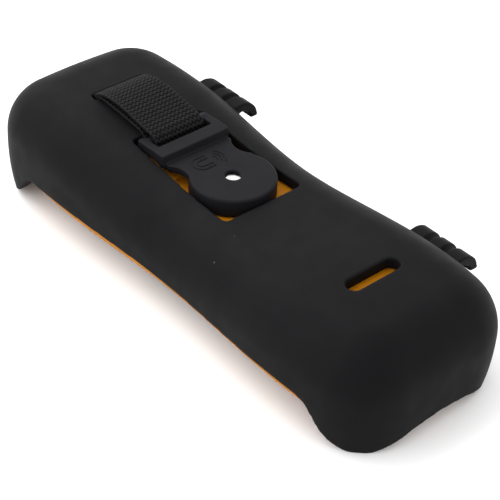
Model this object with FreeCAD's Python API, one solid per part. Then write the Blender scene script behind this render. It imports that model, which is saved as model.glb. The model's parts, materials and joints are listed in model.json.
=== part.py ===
import FreeCAD, Part
import math
import os

# Hand-held digital multimeter in a rubber holster, lying on its face.
# Millimetres, +Z up. The origin is on the surface it lies on, midway along and across the
# body: +Y points to the display end, -Y to the jack end, and the probe clips are on +X.
V = FreeCAD.Vector

# ---- driving dimensions ----
LENGTH = 176.0
HALF = LENGTH / 2.0
DRAFT = 0.035                 # how far each side leans in, per millimetre of height
NEAR_CORNER = 18.6            # plan corner radii of the holster
FAR_CORNER = 18.2
NEAR_BOW = 0.8
FAR_BOW = 2.2
TOP_ROUND = 16.8              # rounding round the holster's back
BLANK_TOP = 46.0
SIDE_STATIONS = [(-HALF, 30.3), (-53.9, 33.5), (-1.5, 31.5), (44.9, 33.3), (HALF, 30.7)]
BACK_STATIONS = [(-96.0, 31.4), (-49.4, 35.1), (0.0, 33.1), (49.4, 37.6), (72.0, 38.2), (96.0, 38.0)]

HOLSTER_WALL = 4.2
HOLSTER_BACK = 3.9
TUCK = [(0.0, 2.1), (8.0, 0.75), (20.0, 0.0)]   # height, how far the wall curls in there
FIT_GAP = 0.3                 # clearance between bodies
CASE_WALL = 2.2
RIM_HEIGHT = 12.3             # long sides of the rim, above the surface
FOOT_LENGTH = 9.6
FOOT_RISE = 17.0
ARCH_HALF = 23.0
ARCH_HEIGHT = 5.5

CASE_OFFSET = HOLSTER_WALL + FIT_GAP
CASE_DROP = HOLSTER_BACK + FIT_GAP
CAVITY_OFFSET = CASE_OFFSET + CASE_WALL
CAVITY_DROP = CASE_DROP + CASE_WALL
FACE_Z = 5.0                  # plane of the meter's front face
FLOOR_Z = FACE_Z + CASE_WALL
SPLIT_Z = 16.0
GASKET = 0.6

WINDOW_Y = 50.0               # display
WINDOW_W = 46.0
WINDOW_H = 35.0
WINDOW_T = 1.2
VIEW_W = 41.0
VIEW_H = 29.0

PANEL_T = 0.4
PANEL_Z = FACE_Z - PANEL_T

BUTTON_Y = 24.0
BUTTON_X = [-18.3, -6.1, 6.1, 18.3]
BUTTON_NAMES = ["light_button", "min_max_button", "range_button", "hold_button"]
BUTTON_W = 9.4
BUTTON_H = 5.2
BUTTON_TRAVEL = 0.7

DIAL_Y = -12.0
DIAL_R = 20.0
HUB_R = 7.0
HUB_FIT = 0.06

JACK_Y = -65.0
JACK_PITCH = 19.05
JACK_X = [-JACK_PITCH, 0.0, JACK_PITCH]
JACK_NAMES = ["current_jack", "common_jack", "volt_jack"]
JACK_BORE_R = 2.0
JACK_R = 3.1
WELL_R = 5.3
WELL_WALL = 0.9
WELL_TOP = 21.5

PCB_Z = 11.0
PCB_T = 1.6
PCB_TOP = PCB_Z + PCB_T

BOSS_X = 19.0
BOSS_Y = 75.0
BOSS_R = 3.4
SCREW_R = 1.5
SCREW_SEAT_Z = 24.0

CELL_R = 5.25                 # two AAA cells side by side
CELL_LENGTH = 44.5
CELL_X = 5.6
CELL_Z = 19.6
TRAY_Y0 = -54.0
TRAY_Y1 = -3.4
TRAY_HALF = 12.2
COVER_HALF = 17.0
COVER_Y0 = -55.0
COVER_Y1 = -3.0

FUSE_X = 19.0
FUSE_Y = -36.0
FUSE_R = 3.15
FUSE_LENGTH = 32.0
FUSE_Z = PCB_TOP + 4.4

SLOT_Y = -57.1                # small oblong slot near the jack end
SLOT_W = 19.6
SLOT_H = 5.0
OPEN_HALF = 14.9              # opening under the hanger tab, tapered towards the strap
OPEN_FAR_HALF = 13.6
OPEN_Y0 = -11.6
OPEN_Y1 = 34.6
OPEN_ROUND = 1.6

WEB_HALF = 9.6                # 19 mm webbing
WEB_T = 1.2
STRAP_Y = 58.6
STRAP_Z = 38.0
STRAP_ROOT_R = 1.1
STRAP_GAP = 0.36               # between the webbing and the back it lies on
STRAP_SLOT_HALF = 10.1
STRAP_SLOT_Y0 = 56.9
STRAP_SLOT_Y1 = 60.2

BAR_Y = 30.4                  # hinge bar of the tab
BAR_Z = 35.8
BAR_R = 1.72
LOOP_IN = 1.8
LOOP_OUT = LOOP_IN + WEB_T
TAB_HALF = 13.2
RING_HALF = 10.4
RING_Y0 = 25.2
DISC_Y = 2.6
DISC_R = 13.4
DISC_Z0 = 29.3
DISC_Z1 = 35.1
MAGNET_R = 10.0
MAGNET_Z0 = 29.9
MAGNET_Z1 = 34.1
TAB_HOLE_R = 2.5
RECESS_Z = 29.0

CLIPS = [(35.0, 55.0, 24.0), (-63.0, -43.0, 21.5)]   # y range and height of the upper finger
CLIP_X = 32.0
CLIP_LOW_Z = 16.8
UPPER_FINGER = (6.8, 5.6, 3.8)          # radius on the ridges, in the valleys and inside
LOWER_FINGER = (4.3, 3.5, 1.7)
RIDGES = 3


# ---- helpers ----
def box(x0, x1, y0, y1, z0, z1):
    return Part.makeBox(x1 - x0, y1 - y0, z1 - z0, V(x0, y0, z0))


def cyl(x, y, z0, z1, r):
    return Part.makeCylinder(r, z1 - z0, V(x, y, z0), V(0, 0, 1))


def tube(x, y, z0, z1, r_out, r_in):
    return cyl(x, y, z0, z1, r_out).cut(cyl(x, y, z0 - 1.0, z1 + 1.0, r_in))


def rod_x(y, z, half, r):
    return Part.makeCylinder(r, 2.0 * half, V(-half, y, z), V(1, 0, 0))


def rod_y(x, z, y0, y1, r):
    return Part.makeCylinder(r, y1 - y0, V(x, y0, z), V(0, 1, 0))


def stadium(x, y, width, height, z0, z1):
    """Upright oblong prism with fully rounded ends, long side along X."""
    r = height / 2.0
    reach = width / 2.0 - r
    bar = box(x - reach, x + reach, y - r, y + r, z0, z1)
    return bar.fuse([cyl(x - reach, y, z0, z1, r), cyl(x + reach, y, z0, z1, r)]).removeSplitter()


def round_box(x0, x1, y0, y1, z0, z1, r):
    """Box whose four upright edges are rounded."""
    solid = box(x0, x1, y0, y1, z0, z1)
    return solid.makeFillet(r, [e for e in solid.Edges if is_upright(e)])


def is_upright(edge):
    a, b = edge.Vertexes[0].Point, edge.Vertexes[-1].Point
    return abs(a.z - b.z) > 0.8 * a.distanceToPoint(b) > 0.1


def spline(points):
    curve = Part.BSplineCurve()
    curve.interpolate(points)
    return curve


BACK_CURVE = spline([V(0, y, z) for y, z in BACK_STATIONS])


def back_height(y):
    """Height of the holster's back at y, on the middle line."""
    low, high = BACK_CURVE.FirstParameter, BACK_CURVE.LastParameter
    while high - low > 1e-6:
        mid = (low + high) / 2.0
        if BACK_CURVE.value(mid).y < y:
            low = mid
        else:
            high = mid
    return BACK_CURVE.value(low).z


def back_edge(y0, y1, shift):
    """Curve that runs parallel to the back, shift above it."""
    count = 9
    ys = [y0 + (y1 - y0) * i / (count - 1) for i in range(count)]
    return spline([V(0, y, back_height(y) + shift) for y in ys])


def outline(inset, z, tuck=0.0):
    """Closed waisted outline at height z: two curved sides and two bowed ends."""
    lean = inset + DRAFT * z + tuck
    right = [V(half - lean, y * (HALF - lean) / HALF, z) for y, half in SIDE_STATIONS]
    left = [V(-p.x, p.y, z) for p in reversed(right)]
    far = Part.Arc(right[-1], V(0, right[-1].y + FAR_BOW, z), left[0])
    near = Part.Arc(left[-1], V(0, left[-1].y - NEAR_BOW, z), right[0])
    parts = [spline(right), far, spline(left), near]
    return Part.Wire([p.toShape() for p in parts])


def blank(inset, drop, floor_z, tucked=False):
    """Solid block of the body: waisted plan, drafted sides, wavy back with rounded edges."""
    if tucked:
        levels = [outline(inset, z, tuck) for z, tuck in TUCK] + [outline(inset, BLANK_TOP)]
    else:
        levels = [outline(inset, floor_z), outline(inset, BLANK_TOP)]
    solid = Part.makeLoft(levels, True, not tucked)
    near = [e for e in solid.Edges if is_upright(e) and e.CenterOfMass.y < 0]
    solid = solid.makeFillet(NEAR_CORNER - inset, near)
    far = [e for e in solid.Edges if is_upright(e) and e.CenterOfMass.y > 0]
    solid = solid.makeFillet(FAR_CORNER - inset, sharp_corners(far))
    y0, y1 = BACK_STATIONS[0][0], BACK_STATIONS[-1][0]
    top = back_edge(y0, y1, -drop)
    a, b = V(0, y1, floor_z - 5.0), V(0, y0, floor_z - 5.0)
    ends = [Part.LineSegment(top.EndPoint, a), Part.LineSegment(a, b), Part.LineSegment(b, top.StartPoint)]
    wire = Part.Wire([top.toShape()] + [e.toShape() for e in ends])
    profile = Part.Face(wire).extrude(V(120, 0, 0))
    profile.translate(V(-60, 0, 0))
    solid = solid.common(profile)
    top_face = max(solid.Faces, key=lambda f: f.CenterOfMass.z)
    return solid.makeFillet(TOP_ROUND - inset, top_face.Edges)


def sharp_corners(edges):
    """Of the upright edges, the two that lie furthest out."""
    return sorted(edges, key=lambda e: -(abs(e.CenterOfMass.x) + e.CenterOfMass.y))[:2]


def slab(z0, z1):
    return box(-60, 60, -110, 110, z0, z1)


def layer(inset, z0, z1):
    """Flat plate with the body's outline, inset from the holster's outside."""
    return blank(inset, CASE_DROP, z0).common(slab(z0, z1))


def save(shape, node):
    if not shape.isValid():
        print("not valid:", node)
    shape.exportStep("parts/" + node + ".step")
    bb = shape.BoundBox
    size = (bb.XMin, bb.XMax, bb.YMin, bb.YMax, bb.ZMin, bb.ZMax)
    print(node, len(shape.Solids), ["%.2f" % v for v in size], "vol %.0f" % shape.Volume)


# ---- holster ----
def rim_cutter():
    """Space below the raised long sides of the rim, between the corner feet."""
    y_flat = HALF - FOOT_LENGTH
    y_top = y_flat - FOOT_RISE
    y_mid = (y_flat + y_top) / 2.0
    far = [V(-60, y_top, RIM_HEIGHT), V(-60, y_mid, RIM_HEIGHT * 0.5), V(-60, y_flat, 0)]
    rise = Part.BSplineCurve()
    rise.interpolate(far, InitialTangent=V(0, 1, 0), FinalTangent=V(0, 1, -0.45))
    near = Part.BSplineCurve()
    near.interpolate([V(p.x, -p.y, p.z) for p in reversed(far)],
                     InitialTangent=V(0, 1, 0.45), FinalTangent=V(0, 1, 0))
    top = Part.LineSegment(near.EndPoint, rise.StartPoint)
    low_far, low_near = V(-60, y_flat, -5), V(-60, -y_flat, -5)
    lines = [Part.LineSegment(rise.EndPoint, low_far), Part.LineSegment(low_far, low_near),
             Part.LineSegment(low_near, near.StartPoint)]
    wire = Part.Wire([c.toShape() for c in [near, top, rise] + lines])
    return Part.Face(wire).extrude(V(120, 0, 0))


def arch_cutter():
    """Shallow arch through both end walls, between the corner feet."""
    arc = Part.Arc(V(-ARCH_HALF, -110, -0.5), V(0, -110, ARCH_HEIGHT), V(ARCH_HALF, -110, -0.5))
    chord = Part.LineSegment(V(ARCH_HALF, -110, -0.5), V(-ARCH_HALF, -110, -0.5))
    return Part.Face(Part.Wire([arc.toShape(), chord.toShape()])).extrude(V(0, 220, 0))


def clip_finger(y0, y1, z, radii, low_corner):
    """Ribbed quarter ring that grows out of the side wall, round the axis at height z."""
    outer, valley, inner = radii
    step = (y1 - y0) / RIDGES
    groove = step * 0.32
    ring = rod_y(CLIP_X, z, y0, y1, outer)
    for k in range(1, RIDGES):
        y = y0 + k * step
        cut = rod_y(CLIP_X, z, y - groove / 2.0, y + groove / 2.0, outer + 1.0)
        ring = ring.cut(cut.cut(rod_y(CLIP_X, z, y0, y1, valley)))
    ring = ring.cut(rod_y(CLIP_X, z, y0 - 1.0, y1 + 1.0, inner))
    corner = z if not low_corner else z - outer - 1.0
    return ring.common(box(CLIP_X - 2.4, CLIP_X + outer + 1.0, y0, y1, corner, corner + outer + 1.0))


def holster():
    shell = blank(0.0, 0.0, 0.0, tucked=True)
    shell = shell.cut(blank(HOLSTER_WALL, HOLSTER_BACK, -1.0))
    for y0, y1, z in CLIPS:
        shell = shell.fuse(clip_finger(y0, y1, z, UPPER_FINGER, False))
        shell = shell.fuse(clip_finger(y0, y1, CLIP_LOW_Z, LOWER_FINGER, True))
    shell = shell.cut([rim_cutter(), arch_cutter()])
    pocket = box(-12.6, 12.6, 55.4, 65.2, 30.0, anchor_z() + 1.55)
    strap_slot = box(-STRAP_SLOT_HALF, STRAP_SLOT_HALF, STRAP_SLOT_Y0, STRAP_SLOT_Y1, 30.0, 50.0)
    lower_slot = stadium(0.0, SLOT_Y, SLOT_W, SLOT_H, 25.0, 50.0)
    return shell.cut([pocket, tapered_window(), strap_slot, lower_slot])


def tapered_window():
    """Opening over the magnet tab, a little narrower at the strap end."""
    corners = [V(-OPEN_HALF, OPEN_Y0, 25), V(OPEN_HALF, OPEN_Y0, 25), V(OPEN_FAR_HALF, OPEN_Y1, 25),
               V(-OPEN_FAR_HALF, OPEN_Y1, 25)]
    solid = Part.Face(Part.makePolygon(corners + [corners[0]])).extrude(V(0, 0, 25))
    return solid.makeFillet(OPEN_ROUND, [e for e in solid.Edges if is_upright(e)])


# ---- hanging strap and magnet tab ----
def strap_webbing():
    """Doubled webbing: humped run, round root at the slot, loop round the tab's bar."""
    low = back_edge(OPEN_Y1 - 0.6, STRAP_Y, STRAP_GAP)
    top = spline([V(0, STRAP_Y, STRAP_Z + STRAP_ROOT_R), V(0, STRAP_Y - 3.6, STRAP_Z + 3.0),
                  V(0, STRAP_Y - 9.0, STRAP_Z + 3.8), V(0, STRAP_Y - 17.0, STRAP_Z + 3.2),
                  V(0, STRAP_Y - 25.0, STRAP_Z + 1.8), V(0, BAR_Y - 1.4, BAR_Z + LOOP_OUT + 0.3)])
    fold = [top.EndPoint, V(0, BAR_Y - LOOP_OUT, BAR_Z + 0.8), V(0, BAR_Y, BAR_Z),
            V(0, BAR_Y + 1.7, BAR_Z - 2.4), low.StartPoint]
    edges = [low.toShape(), Part.LineSegment(low.EndPoint, top.StartPoint).toShape(), top.toShape()]
    edges += [Part.LineSegment(a, b).toShape() for a, b in zip(fold, fold[1:])]
    run = Part.Face(Part.Wire(edges)).extrude(V(2.0 * WEB_HALF, 0, 0))
    run.translate(V(-WEB_HALF, 0, 0))
    loop = rod_x(BAR_Y, BAR_Z, WEB_HALF, LOOP_OUT)
    root = rod_x(STRAP_Y, STRAP_Z, WEB_HALF, STRAP_ROOT_R)
    return run.fuse([loop, root]).cut(rod_x(BAR_Y, BAR_Z, WEB_HALF + 1.0, LOOP_IN))


def anchor_z():
    """Underside of the anchor bar, clear of the webbing fold and the meter below it."""
    return back_height(62.0) - CASE_DROP + 0.9


def strap_anchor():
    """Flat steel bar behind the slot that stops the webbing pulling through."""
    bar = box(-12.0, 12.0, 57.6, 63.4, anchor_z(), anchor_z() + 0.8)
    return bar.makeFillet(0.35, bar.Edges)


def strap_tail():
    """End of the webbing: up through the slot and sewn round the anchor bar."""
    z0, z1 = anchor_z() - 0.55, anchor_z() + 1.35
    fold = box(-WEB_HALF, WEB_HALF, 56.4, 64.4, z0, z1)
    riser = box(-WEB_HALF, WEB_HALF, STRAP_Y - 1.1, STRAP_Y + 1.1, z1 - 0.1, STRAP_Z - STRAP_ROOT_R - FIT_GAP)
    return fold.fuse(riser).cut(box(-12.1, 12.1, 57.6, 63.4, anchor_z(), anchor_z() + 0.8)).removeSplitter()


def tab_body():
    """Hard tab: slotted ring with a raised near bar, waisted neck and magnet housing."""
    far = BAR_Y + BAR_R + 0.9
    side = [V(0, far, 35.0), V(0, far, 36.8), V(0, BAR_Y + 0.8, 37.4), V(0, 20.0, 37.5), V(0, 19.4, DISC_Z1),
            V(0, 0, DISC_Z1), V(0, 0, 32.7), V(0, 19.0, 32.9), V(0, 24.0, 34.2), V(0, BAR_Y, 34.3)]
    wire = Part.makePolygon(side + [side[0]])
    plate = Part.Face(wire).extrude(V(2.0 * TAB_HALF, 0, 0))
    plate.translate(V(-TAB_HALF, 0, 0))
    ring = round_box(-TAB_HALF, TAB_HALF, 19.3, far, 30.0, 40.0, 1.8)
    neck = box(-12.2, 12.2, 3.0, 19.8, 30.0, 40.0)
    waist = [cyl(side_x, 13.0, 29.0, 41.0, 7.0) for side_x in (-17.2, 17.2)]
    plate = plate.common(ring.fuse(neck.cut(waist)))
    disc = cyl(0.0, DISC_Y, DISC_Z0, DISC_Z1, DISC_R)
    disc = disc.makeFillet(0.8, [e for e in disc.Edges if e.CenterOfMass.z > DISC_Z1 - 0.1])
    body = plate.fuse(disc)
    body = body.cut(box(-RING_HALF, RING_HALF, RING_Y0, BAR_Y, 30.0, 40.0))
    body = body.cut(box(-RING_HALF, RING_HALF, BAR_Y - 0.1, far + 1.0, 30.0, 40.0))
    body = body.fuse(rod_x(BAR_Y, BAR_Z, TAB_HALF - 1.0, BAR_R))
    seat = cyl(0.0, DISC_Y, DISC_Z0 - 1.0, MAGNET_Z1 + 0.1, MAGNET_R + 0.1)
    return body.cut([seat, cyl(0.0, DISC_Y, 25.0, 40.0, TAB_HOLE_R)])


def tab_magnet():
    magnet = cyl(0.0, DISC_Y, MAGNET_Z0, MAGNET_Z1, MAGNET_R)
    return magnet.makeFillet(0.3, magnet.Edges[:1])


def magnet_cover():
    return cyl(0.0, DISC_Y, DISC_Z0, MAGNET_Z0, MAGNET_R + 0.1)


# ---- meter casing ----
def screw_bosses(z0, z1, r):
    return [cyl(x, y, z0, z1, r) for x in (-BOSS_X, BOSS_X) for y in (-BOSS_Y, BOSS_Y)]


def case_shell():
    block = blank(CASE_OFFSET, CASE_DROP, FACE_Z)
    front_edges = [e for e in block.Edges if e.CenterOfMass.z < FACE_Z + 0.05 and not is_upright(e)]
    block = block.makeFillet(2.6, front_edges)
    hollow = blank(CAVITY_OFFSET, CAVITY_DROP, FLOOR_Z)
    return block, hollow


def rear_case(block, hollow):
    """Back half of the casing, with screw pillars and the battery opening."""
    upper = slab(SPLIT_Z + GASKET / 2.0, 60.0)
    pillars = [p.common(block) for p in screw_bosses(SPLIT_Z + GASKET / 2.0, 60.0, BOSS_R)]
    shell = block.cut(hollow).fuse(pillars).common(upper)
    shell = shell.cut(screw_bosses(10.0, 60.0, SCREW_R + 0.1))
    shell = shell.cut(screw_bosses(SCREW_SEAT_Z, 60.0, SCREW_R + 1.5))
    return shell.cut([box(-COVER_HALF, COVER_HALF, COVER_Y0, COVER_Y1, 20.0, 60.0), tab_recess()])


def tab_recess():
    """Flat landing on the back of the meter, under the tab's disc."""
    return box(-15.6, 15.6, -12.2, 17.0, RECESS_Z, 60.0)


def battery_cover(block, hollow):
    gap = 0.15
    lid = block.cut(hollow).cut(tab_recess())
    lid = lid.common(box(gap - COVER_HALF, COVER_HALF - gap, COVER_Y0 + gap, COVER_Y1 - gap, 20.0, 60.0))
    for x in cover_screw_x():
        lid = lid.cut([cyl(x, FUSE_Y, 20.0, 60.0, 1.3), cyl(x, FUSE_Y, cover_seat_z(), 60.0, 2.5)])
    return lid


def cover_screw_x():
    return [-COVER_HALF + 2.9, COVER_HALF - 2.9]


def cover_seat_z():
    return back_height(FUSE_Y) - CASE_DROP - 1.5


def battery_cover_screws():
    screws = []
    seat = cover_seat_z()
    for x in cover_screw_x():
        head = cyl(x, FUSE_Y, seat, seat + 1.2, 2.2)
        head = head.cut(cross_recess(x, FUSE_Y, seat + 0.5, seat + 1.3, 1.3))
        screws.append(head.fuse(cyl(x, FUSE_Y, 22.5, seat, 1.1)))
    return Part.makeCompound(screws)


def cross_recess(x, y, z0, z1, reach):
    arm = 0.35
    bars = [box(x - reach, x + reach, y - arm, y + arm, z0, z1), box(x - arm, x + arm, y - reach, y + reach, z0, z1)]
    return bars[0].fuse(bars[1])


def front_case(block, hollow):
    """Front half of the casing, with the display window, dial, button and jack openings."""
    lower = slab(0.0, SPLIT_Z - GASKET / 2.0)
    pillars = screw_bosses(FACE_Z + 1.0, SPLIT_Z - GASKET / 2.0, BOSS_R)
    pillars += [cyl(x, y, FACE_Z + 1.0, PCB_Z, 2.2) for x, y in pcb_screw_places()]
    wells = [cyl(x, JACK_Y, FACE_Z + 1.0, WELL_TOP, WELL_R + WELL_WALL) for x in JACK_X]
    shell = block.cut(hollow).common(lower).fuse(pillars + wells)
    cuts = screw_bosses(FLOOR_Z, 20.0, SCREW_R)
    cuts += [cyl(x, y, FLOOR_Z, 20.0, 1.0) for x, y in pcb_screw_places()]
    cuts += [cyl(x, JACK_Y, 0.0, WELL_TOP - 1.2, WELL_R) for x in JACK_X]
    cuts += [cyl(x, JACK_Y, 0.0, WELL_TOP + 1.0, JACK_R - 0.6) for x in JACK_X]
    cuts.append(cyl(0.0, DIAL_Y, 0.0, 10.0, HUB_R + HUB_FIT))
    cuts.append(window_box(WINDOW_W + 0.2, WINDOW_H + 0.2, FACE_Z - 1.0, FACE_Z + WINDOW_T, 2.0))
    cuts.append(window_box(VIEW_W, VIEW_H, FACE_Z - 1.0, 10.0, 1.0))
    cuts += [stadium(x, BUTTON_Y, BUTTON_W + 0.6, BUTTON_H + 0.6, 0.0, 10.0) for x in BUTTON_X]
    return shell.cut(cuts)


def window_box(width, height, z0, z1, r):
    return round_box(-width / 2.0, width / 2.0, WINDOW_Y - height / 2.0, WINDOW_Y + height / 2.0, z0, z1, r)


def front_panel():
    """Thin printed panel over the middle of the front face."""
    panel = round_box(-23.6, 23.6, -54.0, 71.0, PANEL_Z, FACE_Z, 4.0)
    cuts = [window_box(VIEW_W, VIEW_H, 0.0, 10.0, 1.0), cyl(0.0, DIAL_Y, 0.0, 10.0, HUB_R + 1.0)]
    cuts += [stadium(x, BUTTON_Y, BUTTON_W + 0.8, BUTTON_H + 0.8, 0.0, 10.0) for x in BUTTON_X]
    return panel.cut(cuts)


def case_gasket():
    z0, z1 = SPLIT_Z - GASKET / 2.0, SPLIT_Z + GASKET / 2.0
    return layer(CASE_OFFSET + 0.5, z0, z1).cut(layer(CASE_OFFSET + 1.7, z0, z1))


def case_screws():
    screws = []
    for x in (-BOSS_X, BOSS_X):
        for y in (-BOSS_Y, BOSS_Y):
            head = cyl(x, y, SCREW_SEAT_Z, SCREW_SEAT_Z + 2.0, 2.75)
            head = head.cut(cross_recess(x, y, SCREW_SEAT_Z + 0.9, SCREW_SEAT_Z + 2.1, 1.6))
            screws.append(head.fuse(cyl(x, y, FLOOR_Z + 2.0, SCREW_SEAT_Z, SCREW_R)))
    return Part.makeCompound(screws)


# ---- display ----
def lcd_window():
    return window_box(WINDOW_W, WINDOW_H, FACE_Z, FACE_Z + WINDOW_T, 1.9)


def lcd_glass():
    lower = window_box(44.0, 31.0, 7.5, 8.5, 0.4)
    upper = window_box(44.0, 33.6, 8.5, 9.5, 0.4)
    return lower.fuse(upper)


def lcd_frame():
    outer = window_box(48.0, 37.0, 7.3, PCB_Z, 1.0)
    frame = outer.cut(window_box(44.3, 33.9, 7.0, 12.0, 0.5))
    return frame


def zebra_strips():
    bars = [box(-20.0, 20.0, y - 0.8, y + 0.8, 9.5, PCB_Z) for y in (WINDOW_Y - 15.6, WINDOW_Y + 15.6)]
    return Part.makeCompound(bars)


def backlight_panel():
    return window_box(40.0, 28.0, 9.6, 10.8, 0.5)


# ---- selector ----
def selector_knob():
    """Dial with a raised grip bar and the hub that turns in the front case."""
    dial = cyl(0.0, DIAL_Y, 2.7, PANEL_Z - FIT_GAP, DIAL_R)
    low_rim = [e for e in dial.Edges if e.CenterOfMass.z < 2.8]
    dial = dial.makeFillet(1.0, low_rim)
    grip = round_box(-DIAL_R + 1.5, DIAL_R - 1.5, DIAL_Y - 4.2, DIAL_Y + 4.2, 0.9, 3.0, 3.4)
    grip = grip.makeFillet(0.6, [e for e in grip.Edges if e.CenterOfMass.z < 1.0])
    mark = box(-DIAL_R + 3.0, -DIAL_R + 9.0, DIAL_Y - 0.5, DIAL_Y + 0.5, 0.5, 1.2)
    hub = cyl(0.0, DIAL_Y, 3.5, 10.4, HUB_R)
    return dial.fuse([grip, hub]).cut(mark)


def selector_rotor():
    return tube(0.0, DIAL_Y, 8.4, 9.4, 17.5, HUB_R)


def detent_spring():
    """Leaf ring under the rotor whose two humps click into the notches of the case."""
    leaf = tube(0.0, DIAL_Y, 8.0, 8.4, 16.0, 13.5)
    humps = [Part.makeSphere(0.9, V(x, DIAL_Y, 8.3)) for x in (-14.75, 14.75)]
    below = slab(7.45, 8.4)
    return leaf.fuse([h.common(below) for h in humps])


def wiper_contacts():
    """Six sprung fingers that sweep the tracks of the circuit board."""
    fingers = []
    for k in range(6):
        finger = box(9.0, 16.0, DIAL_Y - 0.6, DIAL_Y + 0.6, 9.4, 9.7)
        finger = finger.fuse(box(14.6, 15.6, DIAL_Y - 0.6, DIAL_Y + 0.6, 9.6, PCB_Z - 0.15))
        finger.rotate(V(0, DIAL_Y, 0), V(0, 0, 1), 60.0 * k)
        fingers.append(finger)
    return Part.makeCompound(fingers)


# ---- buttons ----
def push_button(x):
    cap = stadium(x, BUTTON_Y, BUTTON_W, BUTTON_H, PANEL_Z - BUTTON_TRAVEL - 0.2, FLOOR_Z + 0.4)
    cap = cap.makeFillet(0.45, [e for e in cap.Edges if e.CenterOfMass.z < PANEL_Z - BUTTON_TRAVEL])
    return cap.fuse(stadium(x, BUTTON_Y, BUTTON_W + 2.4, BUTTON_H + 2.2, FLOOR_Z + 0.3, FLOOR_Z + 1.1))


def keypad_membrane():
    return round_box(-24.4, 24.4, BUTTON_Y - 4.5, BUTTON_Y + 4.5, 9.35, 9.85, 1.5)


def dome_switches():
    return Part.makeCompound([cyl(x, BUTTON_Y, 9.85, PCB_Z, 2.4) for x in BUTTON_X])


# ---- circuit board and what is on it ----
def circuit_board():
    board = layer(CAVITY_OFFSET + 0.8, PCB_Z, PCB_TOP)
    cuts = screw_bosses(0.0, 20.0, BOSS_R + 0.4)
    cuts += [cyl(x, JACK_Y, 0.0, 20.0, WELL_R + WELL_WALL + 0.3) for x in JACK_X]
    cuts += [cyl(x, y, 0.0, 20.0, 1.1) for x, y in pcb_screw_places()]
    cuts += [box(x0, x0 + 30.0, -110.0, JACK_Y, 0.0, 20.0) for x0 in (JACK_X[-1], JACK_X[0] - 30.0)]
    return board.cut(cuts)


def pcb_screw_places():
    return [(x, y) for x in (-21.0, 21.0) for y in (-6.0, 12.0)]


def pcb_screws():
    screws = []
    for x, y in pcb_screw_places():
        head = cyl(x, y, PCB_TOP, PCB_TOP + 1.4, 1.9).cut(cross_recess(x, y, PCB_TOP + 0.6, PCB_TOP + 1.5, 1.1))
        screws.append(head.fuse(cyl(x, y, 8.0, PCB_TOP, 1.0)))
    return Part.makeCompound(screws)


def shield_can():
    can = round_box(-13.0, 13.0, 38.0, 64.0, PCB_TOP, PCB_TOP + 5.0, 1.0)
    return can.cut(round_box(-12.6, 12.6, 38.4, 63.6, PCB_TOP - 1.0, PCB_TOP + 4.6, 0.8))


def measuring_chip():
    return box(-7.0, 7.0, 44.0, 58.0, PCB_TOP, PCB_TOP + 1.8)


def piezo_buzzer():
    return tube(-10.0, 16.0, PCB_TOP, PCB_TOP + 4.0, 8.5, 1.2)


def input_resistors():
    return Part.makeCompound([rod_y(x, PCB_TOP + 1.3, 6.0, 15.0, 1.25) for x in (4.0, 8.0, 12.0, 16.0)])


def input_jack(x):
    """Plated 4 mm socket in its well, with its solder tail."""
    sleeve = tube(x, JACK_Y, 8.5, WELL_TOP - 1.2, JACK_R, JACK_BORE_R)
    slit = box(x - 0.3, x + 0.3, JACK_Y, JACK_Y + 5.0, 8.0, 14.0)
    foot = cyl(x, JACK_Y, WELL_TOP - 1.7, WELL_TOP + 1.2, JACK_R - 0.7)
    return sleeve.cut(slit).fuse(foot)


def fuse_link(side):
    return rod_y(side * FUSE_X, FUSE_Z, FUSE_Y - FUSE_LENGTH / 2.0, FUSE_Y + FUSE_LENGTH / 2.0, FUSE_R)


def fuse_clips():
    clips = []
    for side in (-1.0, 1.0):
        for end in (-1.0, 1.0):
            y = FUSE_Y + end * (FUSE_LENGTH / 2.0 - 4.0)
            x = side * FUSE_X
            outer = box(x - 3.65, x + 3.65, y - 2.5, y + 2.5, PCB_TOP, FUSE_Z + 1.5)
            clips.append(outer.cut(box(x - 3.2, x + 3.2, y - 3.0, y + 3.0, PCB_TOP + 0.4, FUSE_Z + 2.0)))
    return Part.makeCompound(clips)


def current_shunt():
    """Thick resistance wire bridging the current and common sockets."""
    x0, x1 = -12.0, -6.5
    z = PCB_TOP + 6.0
    legs = [cyl(x, -52.0, PCB_TOP, z, 0.8) for x in (x0, x1)]
    bridge = Part.makeCylinder(0.8, x1 - x0, V(x0, -52.0, z), V(1, 0, 0))
    joints = [Part.makeSphere(0.8, V(x, -52.0, z)) for x in (x0, x1)]
    wire = bridge.fuse(legs + joints)
    wire.translate(V(0, -5.4, 0))
    return wire


# ---- battery ----
def battery_tray():
    outer = box(-TRAY_HALF, TRAY_HALF, TRAY_Y0, TRAY_Y1, PCB_TOP + 0.6, 25.0)
    hollow = box(1.0 - TRAY_HALF, TRAY_HALF - 1.0, TRAY_Y0 + 1.0, TRAY_Y1 - 1.0, PCB_TOP + 1.4, 30.0)
    ears = []
    for x in cover_screw_x():
        inner = math.copysign(TRAY_HALF, x)
        ears.append(box(min(inner, x * 1.17), max(inner, x * 1.17), FUSE_Y - 2.6, FUSE_Y + 2.6, 22.0, 25.0))
    tray = outer.cut(hollow).fuse(ears)
    return tray.cut([cyl(x, FUSE_Y, 20.0, 30.0, 1.1) for x in cover_screw_x()])


def battery_cell(side):
    x = side * CELL_X
    y0 = TRAY_Y0 + 1.3 if side < 0 else TRAY_Y1 - 1.3 - CELL_LENGTH
    y1 = y0 + CELL_LENGTH
    can = rod_y(x, CELL_Z, y0, y1 - 1.0, CELL_R)
    can = can.makeFillet(0.5, [e for e in can.Edges if not is_seam(e)])
    cap = rod_y(x, CELL_Z, y1 - 1.2, y1, 1.9)
    cell = can.fuse(cap)
    if side < 0:
        cell.rotate(V(x, (y0 + y1) / 2.0, CELL_Z), V(0, 0, 1), 180.0)
    return cell


def is_seam(edge):
    a, b = edge.Vertexes[0].Point, edge.Vertexes[-1].Point
    return a.distanceToPoint(b) > 1.0


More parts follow.
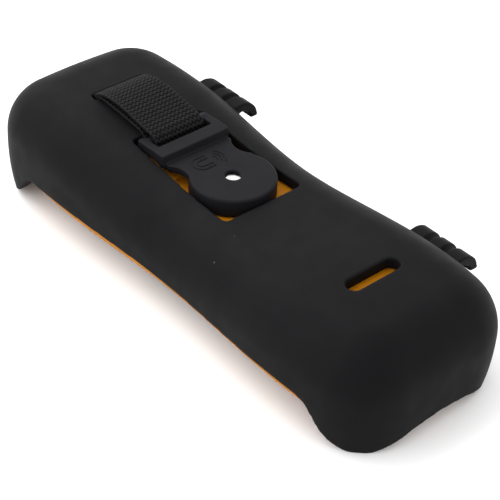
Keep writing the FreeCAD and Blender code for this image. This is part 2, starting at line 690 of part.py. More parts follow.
def battery_springs():
    """Coil spring at each cell's negative end."""
    springs = []
    turns, r, wire, pitch = 3, 2.6, 0.28, 1.3
    for x, y, way in ((CELL_X, TRAY_Y0 + 1.6, pitch), (-CELL_X, TRAY_Y1 - 1.6, -pitch)):
        rings = [Part.makeTorus(r - 0.35 * k, wire, V(x, y + way * k, CELL_Z), V(0, 1, 0)) for k in range(turns)]
        for k in range(turns - 1):
            ends = sorted((y + way * k, y + way * (k + 1)))
            rings.append(rod_y(x + r - 0.35 * k - 0.15, CELL_Z, ends[0], ends[1], wire * 0.9))
        springs.append(rings[0].fuse(rings[1:]))
    return Part.makeCompound(springs)


def battery_contacts():
    plates = [box(-TRAY_HALF + 1.2, TRAY_HALF - 1.2, y, y + 0.3, 15.0, 24.0)
              for y in (TRAY_Y0 + 1.0, TRAY_Y1 - 1.3)]
    return Part.makeCompound(plates)


def main():
    os.makedirs("parts", exist_ok=True)
    block, hollow = case_shell()
    nodes = {
        "holster": holster(),
        "strap_webbing": strap_webbing(),
        "strap_tail": strap_tail(),
        "strap_anchor": strap_anchor(),
        "tab_body": tab_body(),
        "tab_magnet": tab_magnet(),
        "magnet_cover": magnet_cover(),
        "rear_case": rear_case(block, hollow),
        "front_case": front_case(block, hollow),
        "case_gasket": case_gasket(),
        "case_screws": case_screws(),
        "battery_cover": battery_cover(block, hollow),
        "battery_cover_screws": battery_cover_screws(),
        "front_panel": front_panel(),
        "lcd_window": lcd_window(),
        "lcd_glass": lcd_glass(),
        "lcd_frame": lcd_frame(),
        "zebra_strips": zebra_strips(),
        "backlight_panel": backlight_panel(),
        "selector_knob": selector_knob(),
        "selector_rotor": selector_rotor(),
        "detent_spring": detent_spring(),
        "wiper_contacts": wiper_contacts(),
        "keypad_membrane": keypad_membrane(),
        "dome_switches": dome_switches(),
        "circuit_board": circuit_board(),
        "pcb_screws": pcb_screws(),
        "shield_can": shield_can(),
        "measuring_chip": measuring_chip(),
        "piezo_buzzer": piezo_buzzer(),
        "input_resistors": input_resistors(),
        "current_shunt": current_shunt(),
        "fuse_clips": fuse_clips(),
        "high_current_fuse": fuse_link(-1.0),
        "low_current_fuse": fuse_link(1.0),
        "battery_tray": battery_tray(),
        "battery_cell_left": battery_cell(-1.0),
        "battery_cell_right": battery_cell(1.0),
        "battery_springs": battery_springs(),
        "battery_contacts": battery_contacts(),
    }
    nodes.update({name: push_button(x) for name, x in zip(BUTTON_NAMES, BUTTON_X)})
    nodes.update({name: input_jack(x) for name, x in zip(JACK_NAMES, JACK_X)})
    for name, shape in nodes.items():
        save(shape, name)


main()
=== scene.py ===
import bpy
import bmesh
import json
import math
import numpy as np
from mathutils import Matrix, Vector
from mathutils.bvhtree import BVHTree


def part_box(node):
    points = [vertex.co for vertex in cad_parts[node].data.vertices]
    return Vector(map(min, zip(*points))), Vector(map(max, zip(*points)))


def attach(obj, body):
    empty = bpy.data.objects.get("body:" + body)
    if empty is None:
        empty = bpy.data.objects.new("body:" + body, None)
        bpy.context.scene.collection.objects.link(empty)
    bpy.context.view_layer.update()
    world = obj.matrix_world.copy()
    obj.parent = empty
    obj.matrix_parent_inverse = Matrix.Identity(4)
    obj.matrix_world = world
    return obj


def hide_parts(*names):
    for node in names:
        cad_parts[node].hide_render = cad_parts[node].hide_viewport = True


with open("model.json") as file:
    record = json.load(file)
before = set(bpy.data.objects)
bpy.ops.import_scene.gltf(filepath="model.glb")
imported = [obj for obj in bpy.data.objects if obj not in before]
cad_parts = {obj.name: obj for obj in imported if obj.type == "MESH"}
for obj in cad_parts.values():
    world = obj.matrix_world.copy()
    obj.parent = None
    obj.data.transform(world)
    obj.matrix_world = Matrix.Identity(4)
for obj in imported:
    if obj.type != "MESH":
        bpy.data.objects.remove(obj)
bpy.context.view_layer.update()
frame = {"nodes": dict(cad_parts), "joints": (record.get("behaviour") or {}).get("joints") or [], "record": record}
nodes = frame["nodes"]
joint_place = {j["name"]: Vector(j["pos_m"]) for j in frame["joints"] if "pos_m" in j}
mount_place = {m["name"]: Vector(m["pos_m"]) for m in frame["record"]["mounts"]}
MM = 0.001

# ---- camera: the angle the meter is seen from ----
VIEW_AZIMUTH = math.radians(-42.679)
VIEW_ELEVATION = math.radians(38.183)
VIEW_ROLL = math.radians(2.765)
VIEW_DISTANCE = 466.4 * MM
VIEW_TARGET = Vector((-5.035, -11.855, 17.96)) * MM
LENS = 112.33


def add_camera():
    cos_e, sin_e = math.cos(VIEW_ELEVATION), math.sin(VIEW_ELEVATION)
    back = Vector((math.sin(VIEW_AZIMUTH) * cos_e, -math.cos(VIEW_AZIMUTH) * cos_e, sin_e))
    right = Vector((math.cos(VIEW_AZIMUTH), math.sin(VIEW_AZIMUTH), 0.0))
    turn = Matrix.Rotation(VIEW_ROLL, 3, back)
    right = turn @ right
    up = back.cross(right)
    camera = bpy.data.objects.new("camera", bpy.data.cameras.new("camera"))
    camera.data.lens = LENS
    camera.data.sensor_width = 36.0
    camera.data.clip_start = 0.01
    camera.matrix_world = Matrix.Translation(VIEW_TARGET + back * VIEW_DISTANCE) @ Matrix(
        (right, up, back)).transposed().to_4x4()
    bpy.context.scene.collection.objects.link(camera)
    bpy.context.scene.camera = camera
    bpy.context.scene.view_settings.view_transform = "Standard"


add_camera()


# ---- material helpers ----
class Shader:
    """A principled material with short calls for the nodes that feed it."""

    def __init__(self, name, color, roughness, metallic=0.0, **sockets):
        self.material = bpy.data.materials.new(name)
        self.material.use_nodes = True
        self.tree = self.material.node_tree
        self.bsdf = self.tree.nodes["Principled BSDF"]
        self.bsdf.inputs["Base Color"].default_value = (*color, 1.0)
        self.bsdf.inputs["Roughness"].default_value = roughness
        self.bsdf.inputs["Metallic"].default_value = metallic
        for key, value in sockets.items():
            self.bsdf.inputs[key.replace("_", " ")].default_value = value
        self.place = self.node("ShaderNodeTexCoord").outputs["Object"]
        self.height = None

    def node(self, kind, **settings):
        made = self.tree.nodes.new(kind)
        for key, value in settings.items():
            setattr(made, key, value)
        return made

    def link(self, source, target):
        self.tree.links.new(source, target)

    def noise(self, scale, detail=3.0, stretch=None):
        made = self.node("ShaderNodeTexNoise")
        made.inputs["Scale"].default_value = scale
        made.inputs["Detail"].default_value = detail
        source = self.place
        if stretch:
            mapping = self.node("ShaderNodeMapping")
            mapping.inputs["Scale"].default_value = stretch
            self.link(self.place, mapping.inputs["Vector"])
            source = mapping.outputs["Vector"]
        self.link(source, made.inputs["Vector"])
        return made.outputs["Fac"]

    def cells(self, scale):
        made = self.node("ShaderNodeTexVoronoi")
        made.inputs["Scale"].default_value = scale
        self.link(self.place, made.inputs["Vector"])
        return made

    def ramp(self, source, low, high, a=0.0, b=1.0):
        made = self.node("ShaderNodeMapRange")
        for key, value in zip(("From Min", "From Max", "To Min", "To Max"), (low, high, a, b)):
            made.inputs[key].default_value = value
        self.link(source, made.inputs["Value"])
        return made.outputs["Result"]

    def math(self, operation, a, b):
        made = self.node("ShaderNodeMath", operation=operation)
        for socket, value in zip(made.inputs, (a, b)):
            if isinstance(value, float):
                socket.default_value = value
            else:
                self.link(value, socket)
        return made.outputs[0]

    def tint(self, factor, first, second):
        """Base colour mixed from two colours; first may be an earlier mix."""
        made = self.node("ShaderNodeMix", data_type="RGBA")
        self.link(factor, made.inputs["Factor"])
        for socket, value in zip((made.inputs[6], made.inputs[7]), (first, second)):
            if isinstance(value, tuple):
                socket.default_value = (*value, 1.0)
            else:
                self.link(value, socket)
        self.link(made.outputs[2], self.bsdf.inputs["Base Color"])
        return made.outputs[2]

    def roughness(self, source, low, high):
        self.link(self.ramp(source, 0.3, 0.7, low, high), self.bsdf.inputs["Roughness"])

    def bump(self, source, distance, strength=1.0):
        made = self.node("ShaderNodeBump")
        made.inputs["Distance"].default_value = distance
        made.inputs["Strength"].default_value = strength
        self.link(source, made.inputs["Height"])
        if self.height:
            self.link(self.height, made.inputs["Normal"])
        self.height = made.outputs["Normal"]
        self.link(self.height, self.bsdf.inputs["Normal"])


def rubber(name, color, dust=True, fine=0.00003):
    shader = Shader(name, color, 0.6)
    shader.bsdf.inputs["Specular IOR Level"].default_value = 0.05
    patches = shader.noise(45.0, 4.0)
    worn = tuple(c * 1.12 + 0.0006 for c in color)
    mix = shader.tint(shader.ramp(patches, 0.35, 0.7), color, worn)
    shader.roughness(shader.noise(160.0, 3.0), 0.50, 0.60)
    shader.bump(shader.noise(2600.0, 2.0), fine)
    if dust:
        specks = shader.cells(230.0)
        near = shader.ramp(specks.outputs["Distance"], 0.03, 0.07, 0.75, 0.0)
        chosen = shader.node("ShaderNodeSeparateColor")
        shader.link(specks.outputs["Color"], chosen.inputs["Color"])
        few = shader.math("GREATER_THAN", chosen.outputs["Red"], 0.975)
        shader.tint(shader.math("MULTIPLY", near, few), mix, (0.10, 0.10, 0.11))
    return shader.material


def plastic(name, color, rough=0.45, grain=0.00002, spread=0.06, scale=1800.0, gloss=0.5):
    shader = Shader(name, color, rough)
    shader.bsdf.inputs["Specular IOR Level"].default_value = gloss
    shade = tuple(c * 0.86 for c in color)
    shader.tint(shader.ramp(shader.noise(60.0, 4.0), 0.35, 0.65), shade, color)
    shader.roughness(shader.noise(220.0, 3.0), rough - spread, rough + spread)
    shader.bump(shader.noise(scale, 2.0), grain)
    return shader.material


def metal(name, color, rough=0.25, brush=(1.0, 1.0, 1.0)):
    shader = Shader(name, color, rough, metallic=1.0)
    streaks = shader.noise(900.0, 3.0, brush)
    shader.roughness(streaks, max(rough - 0.08, 0.03), rough + 0.1)
    shader.tint(shader.ramp(shader.noise(120.0), 0.35, 0.65), tuple(c * 0.9 for c in color), color)
    shader.bump(streaks, 0.000006)
    return shader.material


def clear(name, color, rough=0.04, alpha=1.0, transmission=1.0):
    shader = Shader(name, color, rough)
    shader.bsdf.inputs["Transmission Weight"].default_value = transmission
    shader.bsdf.inputs["Alpha"].default_value = alpha
    shader.bsdf.inputs["IOR"].default_value = 1.49
    shader.roughness(shader.noise(90.0), rough, rough + 0.05)
    return shader.material


def ceramic(name, color):
    shader = Shader(name, color, 0.2)
    shader.bsdf.inputs["Coat Weight"].default_value = 0.6
    shader.tint(shader.ramp(shader.noise(140.0), 0.4, 0.62), tuple(c * 0.93 for c in color), color)
    shader.roughness(shader.noise(260.0), 0.15, 0.28)
    return shader.material


def board(name):
    """Green solder mask with copper tracks showing under it."""
    shader = Shader(name, (0.02, 0.16, 0.06), 0.32)
    tracks = shader.node("ShaderNodeTexBrick")
    tracks.inputs["Scale"].default_value = 190.0
    tracks.inputs["Mortar Size"].default_value = 0.012
    shader.link(shader.place, tracks.inputs["Vector"])
    shader.tint(shader.ramp(tracks.outputs["Fac"], 0.2, 0.8), (0.015, 0.14, 0.05), (0.05, 0.26, 0.09))
    shader.bump(tracks.outputs["Fac"], 0.00003)
    return shader.material


def webbing_cloth(name):
    """Black nylon: the yarn crowns keep the thread colour, painted shade darkens the low places between them, fine
    threads all over.
    """
    shader = Shader(name, (0.018, 0.018, 0.020), 0.5)
    shader.bsdf.inputs["Specular IOR Level"].default_value = 0.06
    shader.bsdf.inputs["Sheen Weight"].default_value = 0.005
    shader.bsdf.inputs["Sheen Roughness"].default_value = 0.4
    crown = shader.node("ShaderNodeAttribute", attribute_name="crown").outputs["Fac"]
    threads = shader.noise(4200.0, 2.0, (1.0, 0.3, 1.0))
    mix = shader.tint(shader.ramp(threads, 0.3, 0.7), (0.0060, 0.0060, 0.0064), (0.0180, 0.0180, 0.0192))
    # painted shade: near-black where the weave's crown height is low, in the hollows between the yarns
    shader.tint(shader.ramp(crown, 0.35, 0.85, 1.0, 0.0), mix, (0.0005, 0.0005, 0.0006))
    shader.roughness(threads, 0.46, 0.62)
    shader.bump(threads, 0.00005)
    return shader.material


MATERIALS = {
    "holster_rubber": rubber("holster_rubber", (0.0046, 0.0046, 0.0052)),
    "amber_shell": plastic("amber_shell", (0.46, 0.168, 0.004), 0.45, gloss=0.12),
    "seal_rubber": rubber("seal_rubber", (0.03, 0.03, 0.03), dust=False),
    "zinc_steel": metal("zinc_steel", (0.62, 0.62, 0.60), 0.3),
    "panel_black": plastic("panel_black", (0.022, 0.022, 0.024), 0.4),
    "window_clear": clear("window_clear", (0.96, 0.98, 0.97)),
    "lcd_grey": plastic("lcd_grey", (0.42, 0.47, 0.38), 0.25),
    "inner_white": plastic("inner_white", (0.72, 0.72, 0.70)),
    "zebra_rubber": rubber("zebra_rubber", (0.2, 0.2, 0.21), dust=False),
    "diffuser_white": plastic("diffuser_white", (0.85, 0.85, 0.80), 0.5),
    "membrane_grey": rubber("membrane_grey", (0.30, 0.31, 0.32), dust=False),
    "spring_steel": metal("spring_steel", (0.70, 0.69, 0.66), 0.22),
    "board_green": board("board_green"),
    "tin_plate": metal("tin_plate", (0.66, 0.66, 0.64), 0.35, (1.0, 0.1, 1.0)),
    "chip_black": plastic("chip_black", (0.02, 0.02, 0.02), 0.5),
    "resistor_blue": plastic("resistor_blue", (0.06, 0.20, 0.42), 0.3),
    "copper_wire": metal("copper_wire", (0.80, 0.45, 0.30), 0.3),
    "brass_contact": metal("brass_contact", (0.80, 0.62, 0.28), 0.28),
    "fuse_ceramic": ceramic("fuse_ceramic", (0.82, 0.80, 0.74)),
    "tray_black": plastic("tray_black", (0.03, 0.03, 0.03), 0.5),
    "cell_wrap": plastic("cell_wrap", (0.07, 0.09, 0.13), 0.3),
    "jack_plate": metal("jack_plate", (0.82, 0.72, 0.48), 0.2),
    "webbing": webbing_cloth("webbing"),
    "tab_plastic": plastic("tab_plastic", (0.0082, 0.0083, 0.0100), 0.50, 0.00003, 0.05, 2600.0, 0.055),
    "magnet_nickel": metal("magnet_nickel", (0.78, 0.78, 0.77), 0.16),
    "knob_black": plastic("knob_black", (0.03, 0.03, 0.033), 0.45),
    "button_grey": rubber("button_grey", (0.30, 0.31, 0.33), dust=False),
}


def paint_nodes():
    slots = {s["node"]: s["material_slot"] for s in frame["record"]["subparts"]}
    for name, node in nodes.items():
        node.data.materials.clear()
        node.data.materials.append(MATERIALS[slots[name]])


paint_nodes()


# ---- mesh helpers ----
def add_piece(name, mesh, material, body):
    piece = bpy.data.objects.new(name, mesh)
    bpy.context.scene.collection.objects.link(piece)
    mesh.materials.clear()
    mesh.materials.append(MATERIALS[material])
    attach(piece, body)
    return piece


def bake(piece):
    """The piece's mesh with its modifiers applied."""
    graph = bpy.context.evaluated_depsgraph_get()
    mesh = bpy.data.meshes.new_from_object(piece.evaluated_get(graph))
    return mesh


def corner_data(mesh):
    """Corner positions and the surface's normals per triangle, then the vertices and triangles."""
    mesh.calc_loop_triangles()
    count = len(mesh.loop_triangles)
    loops = np.empty(count * 3, dtype=np.int64)
    mesh.loop_triangles.foreach_get("loops", loops)
    corners = np.empty(count * 3, dtype=np.int64)
    mesh.loop_triangles.foreach_get("vertices", corners)
    places = np.empty(len(mesh.vertices) * 3)
    mesh.vertices.foreach_get("co", places)
    normals = np.empty(len(mesh.loops) * 3)
    mesh.corner_normals.foreach_get("vector", normals)
    places = places.reshape(-1, 3)
    corner_places = places[corners].reshape(-1, 3, 3)
    corner_normals = normals.reshape(-1, 3)[loops].reshape(-1, 3, 3)
    return corner_places, corner_normals, places, corners.reshape(-1, 3)


def surface_tree(node_name):
    """Search tree over the faces of a CAD node."""
    places, faces = corner_data(nodes[node_name].data)[2:]
    return BVHTree.FromPolygons(places.tolist(), faces.tolist())


def drop_on(tree, x, y):
    """Where a ray straight down through x, y in metres meets the surface; None beside it."""
    return tree.ray_cast(Vector((x, y, 0.1)), Vector((0, 0, -1)))[0]


def weights(point, tri):
    """Barycentric weights of points on their triangles."""
    a, b, c = tri[:, 0], tri[:, 1], tri[:, 2]
    v0, v1, v2 = b - a, c - a, point - a
    d00, d01, d11 = (v0 * v0).sum(1), (v0 * v1).sum(1), (v1 * v1).sum(1)
    d20, d21 = (v2 * v0).sum(1), (v2 * v1).sum(1)
    low = np.maximum(d00 * d11 - d01 * d01, 1e-24)
    v = np.clip((d11 * d20 - d01 * d21) / low, 0.0, 1.0)
    w = np.clip((d00 * d21 - d01 * d20) / low, 0.0, 1.0 - v)
    return np.stack([1.0 - v - w, v, w], axis=1)


def settle(mesh, source, keep=0.90, full=0.975):
    """Lays the flat parts of a remeshed skin back on the CAD surface; edges stay softened."""
    tri, tri_normals, places, faces = corner_data(source)
    tree = BVHTree.FromPolygons(places.tolist(), faces.tolist())
    count = len(mesh.vertices)
    where = np.empty(count * 3)
    mesh.vertices.foreach_get("co", where)
    where = where.reshape(-1, 3)
    facing = np.empty(count * 3)
    mesh.vertex_normals.foreach_get("vector", facing)
    facing = facing.reshape(-1, 3)
    hits = [tree.find_nearest(p) for p in where.tolist()]
    index = np.array([h[2] for h in hits])
    point = np.array([tuple(h[0]) for h in hits])
    share = weights(point, tri[index])[:, :, None]
    normal = (tri_normals[index] * share).sum(1)
    normal /= np.linalg.norm(normal, axis=1, keepdims=True) + 1e-12
    lift = ((point[:, None, :] - tri[index]) * tri_normals[index]).sum(2, keepdims=True)
    curved = ((point[:, None, :] - lift * tri_normals[index]) * share).sum(1)
    target = 0.25 * point + 0.75 * curved
    agree = np.clip(((facing * normal).sum(1) - keep) / (full - keep), 0.0, 1.0)[:, None]
    agree = agree * agree * (3.0 - 2.0 * agree)
    where = where * (1.0 - agree) + target * agree
    where = np.clip(where, places.min(0), places.max(0))
    mesh.vertices.foreach_set("co", where.ravel())
    mesh.update()


def moulded(node_name, voxel, passes, name):
    """A copy of a CAD node remeshed finely, its sharp edges softened as moulding leaves them."""
    source = nodes[node_name]
    work = bpy.data.objects.new(name + "_work", source.data.copy())
    bpy.context.scene.collection.objects.link(work)
    remesh = work.modifiers.new("remesh", "REMESH")
    remesh.mode = "VOXEL"
    remesh.voxel_size = voxel
    smooth = work.modifiers.new("smooth", "SMOOTH")
    smooth.factor = 0.5
    smooth.iterations = passes
    bpy.context.view_layer.update()
    mesh = bake(work)
    mesh.name = name
    bpy.data.objects.remove(work)
    settle(mesh, source.data)
    mesh.shade_smooth()
    return mesh


def make_holster():
    mesh = moulded("holster", 0.42 * MM, 4, "holster_skin")
    piece = add_piece("holster_skin", mesh, "holster_rubber", "holster")
    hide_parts("holster")


def make_tab():
    mesh = moulded("tab_body", 0.24 * MM, 3, "tab_moulding")
    piece = add_piece("tab_moulding", mesh, "tab_plastic", "tab")
    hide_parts("tab_body")


make_holster()
make_tab()


# ---- woven strap ----
WEB_THICK = 1.3 * MM
WEB_WIDE = 19.2 * MM
ROW = 1.6 * MM
COLUMN = 0.8 * MM
YARN = 0.42 * MM
BAR = joint_place["tab_hinge"].yz
BAR_WRAP = 2.4 * MM
HINGE = joint_place["strap_hinge"].yz
ROOT_WRAP = 0.5 * MM
STEPS_PER_ROW = 8


def strap_surfaces():
    """Functions giving the top and the underside of the CAD strap at y."""
    tree = surface_tree("strap_webbing")

    def top(y):
        return drop_on(tree, 0.0, y).z

    def low(y):
        return tree.ray_cast(Vector((0.0, y, 0.0)), Vector((0, 0, 1)))[0].z
    return top, low


def strap_path():
    """Closed centre line of the doubled webbing, as (y, z) points about 0.2 mm apart."""
    top, low = strap_surfaces()
    half = WEB_THICK / 2.0
    rough = []
    for y in np.linspace(HINGE.x - 0.2 * MM, BAR.x - 1.0 * MM, 60):
        rough.append((y, top(y) - half))
    for angle in np.linspace(128.0, 285.0, 30):
        turn = math.radians(angle)
        rough.append((BAR.x + BAR_WRAP * math.cos(turn), BAR.y + BAR_WRAP * math.sin(turn)))
    for y in np.linspace(BAR.x + 4.2 * MM, HINGE.x - 1.4 * MM, 40):
        rough.append((y, low(y) + half))
    for angle in np.linspace(-60.0, 60.0, 9):
        turn = math.radians(angle)
        rough.append((HINGE.x + ROOT_WRAP * math.cos(turn), HINGE.y + ROOT_WRAP * math.sin(turn)))
    path = np.array(rough)
    for _ in range(6):
        path = 0.5 * path + 0.25 * (np.roll(path, 1, 0) + np.roll(path, -1, 0))
    closed = np.vstack([path, path[:1]])
    length = np.concatenate([[0.0], np.cumsum(np.linalg.norm(np.diff(closed, axis=0), axis=1))])
    rows = int(round(length[-1] / ROW))
    steps = np.linspace(0.0, length[-1], rows * STEPS_PER_ROW, endpoint=False)
    even = np.stack([np.interp(steps, length, closed[:, k]) for k in (0, 1)], axis=1)
    return even, steps / length[-1] * rows


def weave(across, along):
    """Height of the zigzag yarns, 0 to 1, for a position in columns and rows."""
    column = np.floor(across)
    inside = across - column
    side = np.where(column % 2 == 0, 1.0, -1.0)
    crown = np.abs(np.sin(math.pi * (along + side * (inside - 0.5) * 0.62))) ** 0.8
    rib = np.sin(math.pi * inside) ** 0.6
    return crown * (0.45 + 0.55 * rib)


def make_webbing():
    path, rows = strap_path()
    ahead = np.roll(path, -1, 0) - np.roll(path, 1, 0)
    ahead /= np.linalg.norm(ahead, axis=1, keepdims=True)
    outward = np.stack([ahead[:, 1], -ahead[:, 0]], axis=1)
    half_w, half_t = WEB_WIDE / 2.0, WEB_THICK / 2.0
    edge_round = half_t * 0.8
    flat = np.linspace(-half_w + edge_round, half_w - edge_round, 96)
    bend = np.linspace(-math.pi / 2.0, math.pi / 2.0, 9)[1:-1]
    xs = np.concatenate([flat, flat[-1] + edge_round * np.cos(bend), flat[::-1],
                         flat[0] - edge_round * np.cos(bend)])
    ts = np.concatenate([np.full(flat.size, 1.0), -np.sin(bend), np.full(flat.size, -1.0), np.sin(bend)])
    count, ring = len(path), len(xs)
    across = (xs + half_w) / COLUMN
    verts = np.empty((count, ring, 3))
    crowns = np.empty((count, ring))
    outer = ts > 0
    for i in range(count):
        shifted = across + np.where(outer, 0.0, 1.0)
        high = weave(shifted, rows[i] + np.where(outer, 0.0, 0.5))
        edge = np.clip((half_w - np.abs(xs)) / (0.9 * MM), 0.0, 1.0)
        bead = abs(math.sin(math.pi * rows[i] * 2.0)) ** 0.6
        high = high * edge + (0.35 + 0.5 * bead) * (1.0 - edge)
        offset = ts * (half_t - YARN) + np.sign(ts) * np.abs(ts) ** 0.5 * high * YARN
        verts[i, :, 0] = xs
        verts[i, :, 1] = path[i, 0] + outward[i, 0] * offset
        verts[i, :, 2] = path[i, 1] + outward[i, 1] * offset
        crowns[i] = high
    faces = []
    for i in range(count):
        a, b = i * ring, ((i + 1) % count) * ring
        faces += [(a + k, a + (k + 1) % ring, b + (k + 1) % ring, b + k) for k in range(ring)]
    mesh = bpy.data.meshes.new("webbing_weave")
    mesh.from_pydata(verts.reshape(-1, 3).tolist(), [], faces)
    # the weave height also drives the webbing material's painted shade between the yarns
    layer = mesh.attributes.new("crown", "FLOAT", "POINT")
    layer.data.foreach_set("value", crowns.ravel())
    work = bmesh.new()
    work.from_mesh(mesh)
    bmesh.ops.recalc_face_normals(work, faces=work.faces)
    work.to_mesh(mesh)
    work.free()
    mesh.shade_smooth()
    piece = add_piece("webbing_weave", mesh, "webbing", "strap")
    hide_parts("strap_webbing")


make_webbing()


# ---- raised and printed marks, placed in mm ----
PRINT = 0.04 * MM
PRINT_GAP = 0.01
UPRIGHT = math.pi / 2.0
JACKS = [mount_place[name] / MM for name in ("current_jack", "common_jack", "volt_jack")]
BUTTONS = ("light_button", "min_max_button", "range_button", "hold_button")
DIAL_Y = joint_place["selector_turn"].y / MM
DIAL_TICKS = 12
TICK_RADIUS = 22.0
NUMBER_RADIUS = 25.4
NUMBER_SQUEEZE = 0.93
DIAL_NUMBERS = ((90, "0"), (65, "2"), (40, "20"), (-40, "200"), (-65, "600"), (-90, "1000"),
                (140, "4"), (115, "40"), (-140, "400"), (-115, "10"))
MAGNET_X = -3.6
MAGNET_Y = 12.9
MAGNET_OUTER = 3.0
MAGNET_INNER = 1.4
BACK_NUMBERS_X = -12.4


def stroke(points, width, height):
    """Verts and faces of a low round-topped rib that follows points (x, y, z)."""
    verts, faces = [], []
    profile = [(-0.5, -0.6), (-0.42, 0.45), (-0.2, 0.92), (0.2, 0.92), (0.42, 0.45), (0.5, -0.6)]
    for i, p in enumerate(points):
        a, b = points[max(i - 1, 0)], points[min(i + 1, len(points) - 1)]
        run = (b - a).normalized()
        side = run.cross(Vector((0, 0, 1))).normalized()
        verts += [p + side * (u * width) + Vector((0, 0, v * height)) for u, v in profile]
    n = len(profile)
    for i in range(len(points) - 1):
        faces += [(i * n + k, i * n + k + 1, (i + 1) * n + k + 1, (i + 1) * n + k) for k in range(n - 1)]
    faces.append(tuple(range(n - 1, -1, -1)))
    faces.append(tuple((len(points) - 1) * n + k for k in range(n)))
    return verts, faces


def make_tab_mark():
    """A small horseshoe magnet with field lines, standing on the plate of the tab."""
    tree = surface_tree("tab_body")

    def arc(x, y, r, start, end):
        angles = [math.radians(start + (end - start) * k / 20.0) for k in range(21)]
        return [(x + r * math.cos(a), y + r * math.sin(a)) for a in angles]

    leg, arm = 3.0, MAGNET_OUTER - MAGNET_INNER
    lines = [arc(MAGNET_X, MAGNET_Y, r, 90, 270) for r in (MAGNET_OUTER, MAGNET_INNER)]
    for rise in (MAGNET_OUTER, MAGNET_INNER, -MAGNET_INNER, -MAGNET_OUTER):
        lines.append([(MAGNET_X + leg * k / 8.0, MAGNET_Y + rise) for k in range(9)])
    for low in (MAGNET_Y + MAGNET_INNER, MAGNET_Y - MAGNET_OUTER):
        for x in (MAGNET_X + leg, MAGNET_X + leg - arm):
            lines.append([(x, low + arm * k / 6.0) for k in range(7)])
    for r in (1.5, 2.8, 4.1):
        lines.append(arc(0.6, MAGNET_Y, r, -52, 52))
    verts, faces = [], []
    for line in lines:
        points = [drop_on(tree, x * MM, y * MM) for x, y in line]
        more, extra = stroke(points, 0.42 * MM, 0.26 * MM)
        base = len(verts)
        verts += more
        faces += [tuple(base + k for k in face) for face in extra]
    mesh = bpy.data.meshes.new("tab_mark")
    mesh.from_pydata([tuple(v) for v in verts], [], faces)
    mesh.shade_smooth()
    add_piece("tab_mark", mesh, "tab_plastic", "tab")


def glyphs(text, x, y, z, size, down=True, turn=0.0):
    """Verts and faces of printed characters, readable from below when down is set."""
    curve = bpy.data.curves.new("glyphs", "FONT")
    curve.body = text
    curve.size = size * MM
    curve.align_x = "CENTER"
    curve.align_y = "CENTER"
    curve.extrude = PRINT / 2.0
    work = bpy.data.objects.new("glyphs", curve)
    bpy.context.scene.collection.objects.link(work)
    bpy.context.view_layer.update()
    mesh = bake(work)
    bpy.data.objects.remove(work)
    flip = Matrix.Rotation(math.pi, 4, "Y") if down else Matrix.Identity(4)
    mesh.transform(Matrix.Translation(Vector((x, y, z)) * MM) @ Matrix.Rotation(turn, 4, "Z") @ flip)
    return [tuple(v.co) for v in mesh.vertices], [tuple(f.vertices) for f in mesh.polygons]


def bar(x, y, z, length, width, angle):
    """Verts and faces of one printed line, turned by angle about +Z."""
    ux, uy = math.cos(angle) * length / 2.0, math.sin(angle) * length / 2.0
    vx, vy = -math.sin(angle) * width / 2.0, math.cos(angle) * width / 2.0
    ring = [(x + ux + vx, y + uy + vy), (x - ux + vx, y - uy + vy), (x - ux - vx, y - uy - vy),
            (x + ux - vx, y + uy - vy)]
    verts = [(a * MM, b * MM, z * MM + side * PRINT / 2.0) for side in (-1, 1) for a, b in ring]
    faces = [(0, 3, 2, 1), (4, 5, 6, 7)]
    return verts, faces + [(k, (k + 1) % 4, 4 + (k + 1) % 4, 4 + k) for k in range(4)]


def hoop(x, y, z, radius, width):
    """Verts and faces of a printed ring."""
    verts, count = [], 72
    for k in range(count):
        a = 2.0 * math.pi * k / count
        for r, side in ((radius, -1), (radius + width, -1), (radius + width, 1), (radius, 1)):
            height = z * MM + side * PRINT / 2.0
            verts.append(((x + r * math.cos(a)) * MM, (y + r * math.sin(a)) * MM, height))
    faces = []
    for k in range(count):
        a, b = 4 * k, 4 * ((k + 1) % count)
        faces += [(a + m, a + (m + 1) % 4, b + (m + 1) % 4, b + m) for m in range(4)]
    return verts, faces


def add_print(name, shapes, material, body):
    verts, faces = [], []
    for more, extra in shapes:
        base = len(verts)
        verts += more
        faces += [tuple(base + k for k in face) for face in extra]
    mesh = bpy.data.meshes.new(name)
    mesh.from_pydata(verts, [], faces)
    return add_piece(name, mesh, material, body)


def low_z(node_name, x, y):
    """Height of the lowest face of a CAD node above the point x, y, in mm."""
    tree = surface_tree(node_name)
    return tree.ray_cast(Vector((x * MM, y * MM, -0.01)), Vector((0, 0, 1)))[0].z / MM


def button_signs(x, y, z):
    """Printed shapes of each key at x, y, z: a lamp, two levels, a span and a pause sign."""
    rays = [bar(x + 1.9 * math.cos(a), y + 1.9 * math.sin(a), z, 0.7, 0.3, a)
            for a in np.arange(0, 6.2, 0.785)]
    return {
        "light_button": [hoop(x, y, z, 0.7, 0.35)] + rays,
        "min_max_button": [bar(x, y + rise, z, 3.2, 0.35, 0.0) for rise in (1.0, -1.0)],
        "range_button": [bar(x, y, z, 3.6, 0.35, 0.0)] + [
            bar(x + side, y, z, 1.6, 0.35, UPRIGHT) for side in (-1.8, 1.8)],
        "hold_button": [bar(x + side, y, z, 2.4, 0.55, UPRIGHT) for side in (-0.7, 0.7)],
    }


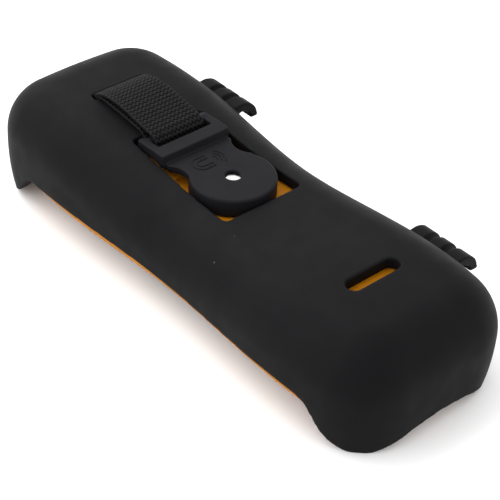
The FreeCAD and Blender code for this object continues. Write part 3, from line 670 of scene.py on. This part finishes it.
def make_front_print():
    """Range marks round the selector, socket rings and button signs; numbers only."""
    face = low_z("front_panel", 0.0, -46.0) - PRINT_GAP
    shapes = []
    for k in range(DIAL_TICKS):
        a = math.radians(360.0 / DIAL_TICKS * k)
        x, y = TICK_RADIUS * math.cos(a), DIAL_Y + TICK_RADIUS * math.sin(a)
        shapes.append(bar(x, y, face, 1.7, 0.45, a))
    for angle, text in DIAL_NUMBERS:
        a = math.radians(angle)
        x, y = NUMBER_RADIUS * math.cos(a) * NUMBER_SQUEEZE, DIAL_Y + NUMBER_RADIUS * math.sin(a)
        shapes.append(glyphs(text, x, y, face, 2.9))
    for y, length in ((30.6, 43.0), (-43.6, 40.0)):
        shapes.append(bar(0.0, y, face, length, 0.25, 0.0))
    for jack, text in zip(JACKS, ("10", "0", "600")):
        shapes.append(glyphs(text, jack.x, -49.5, face, 3.2))
    add_print("panel_print", shapes, "inner_white", "meter")
    rings = []
    for jack in JACKS:
        rim = low_z("front_case", jack.x, jack.y + 7.1) - PRINT_GAP
        rings.append(hoop(jack.x, jack.y, rim, 6.4, 0.5))
    add_print("socket_rings", rings, "panel_black", "meter")
    for name in BUTTONS:
        low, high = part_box(name)
        x, y = (low[0] + high[0]) / 2.0 / MM, (low[1] + high[1]) / 2.0 / MM
        signs = button_signs(x, y, low[2] / MM - PRINT_GAP)
        add_print(name + "_sign", signs[name], "panel_black", name)
    top = low_z("selector_knob", 0.0, DIAL_Y + 14.0) - PRINT_GAP
    pointer = bar(0.0, DIAL_Y + 13.0, top, 6.5, 0.9, UPRIGHT)
    add_print("pointer_line", [pointer], "inner_white", "selector")


def make_back_print():
    """Small moulded-in numbers on the amber back, beside the neck of the tab."""
    x = BACK_NUMBERS_X
    trees = [surface_tree(name) for name in ("battery_cover", "rear_case")]
    shapes = []
    for y, text in ((18.0, "5"), (14.2, "7"), (10.4, "12"), (6.4, "4")):
        hits = [drop_on(tree, x * MM, y * MM) for tree in trees]
        top = max(hit.z for hit in hits if hit is not None)
        shapes.append(glyphs(text, x, y, top / MM + PRINT_GAP, 3.0, False, -UPRIGHT))
    add_print("back_numbers", shapes, "panel_black", "meter")


make_tab_mark()
make_front_print()
make_back_print()


# ---- stage ----
def add_floor():
    mesh = bpy.data.meshes.new("floor")
    half = 3.0
    corners = [(-half, -half, 0), (half, -half, 0), (half, half, 0), (-half, half, 0)]
    mesh.from_pydata(corners, [], [(0, 1, 2, 3)])
    floor = bpy.data.objects.new("floor", mesh)
    bpy.context.scene.collection.objects.link(floor)
    shader = Shader("floor", (0.90, 0.90, 0.90), 0.9)
    tree = shader.tree
    back = shader.node("ShaderNodeNewGeometry").outputs["Backfacing"]
    gone = shader.node("ShaderNodeBsdfTransparent")
    mix = shader.node("ShaderNodeMixShader")
    shader.link(back, mix.inputs["Fac"])
    shader.link(shader.bsdf.outputs["BSDF"], mix.inputs[1])
    shader.link(gone.outputs["BSDF"], mix.inputs[2])
    shader.link(mix.outputs["Shader"], tree.nodes["Material Output"].inputs["Surface"])
    mesh.materials.append(shader.material)


def add_area(name, place, size, power):
    light = bpy.data.lights.new(name, "AREA")
    light.shape = "RECTANGLE"
    light.size, light.size_y = size
    light.energy = power
    made = bpy.data.objects.new(name, light)
    place = Vector(place)
    made.location = place
    made.rotation_euler = (Vector((0, 0, 0.02)) - place).to_track_quat("-Z", "Y").to_euler()
    bpy.context.scene.collection.objects.link(made)


def add_lights():
    world = bpy.data.worlds.new("world")
    bpy.context.scene.world = world
    world.use_nodes = True
    world.node_tree.nodes["Background"].inputs["Color"].default_value = (1.0, 1.0, 1.0, 1.0)
    world.node_tree.nodes["Background"].inputs["Strength"].default_value = 1.35
    add_area("top_light", (-0.10, 0.85, 1.0), (1.3, 1.3), 13.0)
    add_area("side_light", (-0.9, 0.3, 0.5), (0.8, 0.8), 3.0)


add_floor()
add_lights()
